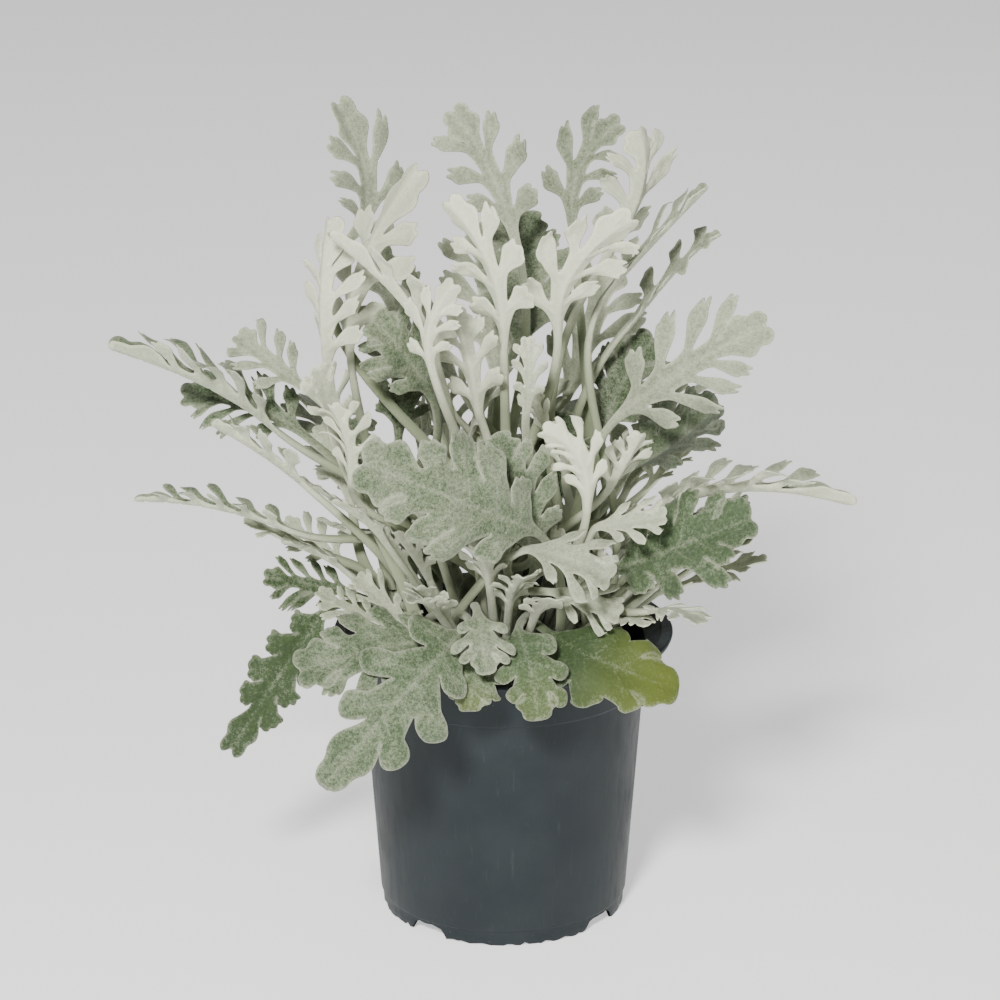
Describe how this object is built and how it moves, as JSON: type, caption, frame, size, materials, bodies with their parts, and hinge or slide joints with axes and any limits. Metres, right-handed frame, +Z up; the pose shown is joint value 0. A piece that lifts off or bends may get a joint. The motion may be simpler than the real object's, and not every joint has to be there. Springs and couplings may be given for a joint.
{
  "type": "potted dusty miller plant",
  "caption": "Bushy silver-felted foliage plant with deeply lobed leaves on leaning woody stems, growing in a dark tapered plastic nursery pot.",
  "frame": {"origin": "middle of the pot's foot, on the surface the pot stands on", "axes": "+Z up along the pot's axis, -Y towards the front of the plant, +X to its right as seen from the front"},
  "size_m": [0.3595, 0.2691, 0.4085],
  "materials": {
    "pot_plastic": "satin",
    "peat": "matte",
    "felted_stem": "matte",
    "silver_felt": "matte",
    "green_felt": "matte"
  },
  "bodies": {
    "root": {"pot": "pot_plastic", "soil": "peat", "crown_and_stems": "felted_stem", "leaf_middle_1": "silver_felt", "leaf_low_2": "silver_felt", "leaf_low_1": "silver_felt", "leaf_low_7": "green_felt", "leaf_low_6": "silver_felt", "leaf_low_5": "silver_felt", "leaf_low_4": "silver_felt", "leaf_left_1": "silver_felt", "leaf_left_4": "silver_felt", "leaf_right_3": "silver_felt", "leaf_right_1": "silver_felt", "leaf_top_3": "silver_felt", "leaf_top_2": "silver_felt", "leaf_upper_left_1": "silver_felt", "leaf_top_1": "silver_felt", "leaf_top_4": "silver_felt", "leaf_top_5": "silver_felt", "leaf_upper_left_2": "silver_felt", "leaf_upper_left_3": "silver_felt", "leaf_upper_left_4": "silver_felt", "leaf_top_6": "silver_felt", "leaf_top_7": "silver_felt", "leaf_right_2": "green_felt", "leaf_right_4": "silver_felt", "leaf_right_7": "silver_felt", "leaf_right_8": "silver_felt", "leaf_right_5": "silver_felt", "leaf_right_6": "silver_felt", "leaf_right_9": "silver_felt", "leaf_right_10": "green_felt", "leaf_left_2": "silver_felt", "leaf_left_3": "silver_felt", "leaf_left_5": "green_felt", "leaf_left_6": "silver_felt", "leaf_left_7": "silver_felt", "leaf_left_8": "silver_felt", "leaf_low_3": "green_felt", "leaf_middle_2": "silver_felt", "leaf_middle_4": "silver_felt", "leaf_middle_5": "silver_felt", "leaf_middle_6": "silver_felt", "leaf_middle_7": "silver_felt", "leaf_middle_8": "green_felt", "leaf_middle_9": "green_felt", "leaf_low_8": "green_felt", "leaf_back_1": "silver_felt", "leaf_back_2": "silver_felt", "leaf_back_3": "silver_felt", "leaf_back_4": "silver_felt", "leaf_back_5": "silver_felt", "leaf_back_6": "silver_felt", "leaf_back_7": "silver_felt", "leaf_back_8": "silver_felt", "leaf_back_9": "silver_felt", "leaf_back_10": "silver_felt", "leaf_back_11": "silver_felt"}
  },
  "joints": []
}
